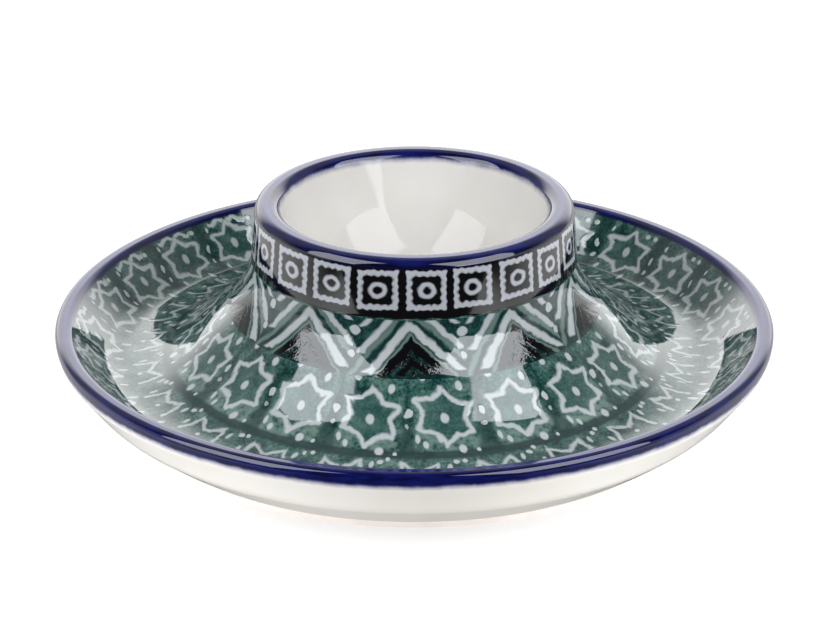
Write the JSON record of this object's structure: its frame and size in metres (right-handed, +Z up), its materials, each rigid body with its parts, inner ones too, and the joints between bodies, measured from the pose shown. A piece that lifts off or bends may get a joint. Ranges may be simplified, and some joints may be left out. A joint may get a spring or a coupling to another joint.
{
  "type": "egg cup",
  "caption": "Egg cup rising on a flared cone from the middle of its own saucer, in glazed stoneware with stamped bands.",
  "frame": {"origin": "centre of the face that the foot ring stands on", "axes": "+Z up along the axis that the whole piece is turned about"},
  "size_m": [0.13, 0.13, 0.0386],
  "materials": {
    "fired_clay": "matt, unglazed",
    "cream_glaze": "gloss",
    "cobalt_glaze": "gloss, soft edges",
    "black_stamp_glaze": "gloss, stamped squares left pale",
    "chevron_stamp_glaze": "gloss, stamped chevrons left pale",
    "star_stamp_glaze": "gloss, stamped stars and dots left pale"
  },
  "bodies": {
    "root": {"stoneware_body": "fired_clay", "bowl_lining_glaze": "cream_glaze", "cup_rim_band": "cobalt_glaze", "square_band": "black_stamp_glaze", "chevron_band": "chevron_stamp_glaze", "inner_star_band": "star_stamp_glaze", "outer_star_band": "star_stamp_glaze", "saucer_rim_band": "cobalt_glaze", "underside_glaze": "cream_glaze", "hollow_glaze": "cream_glaze"}
  },
  "joints": []
}
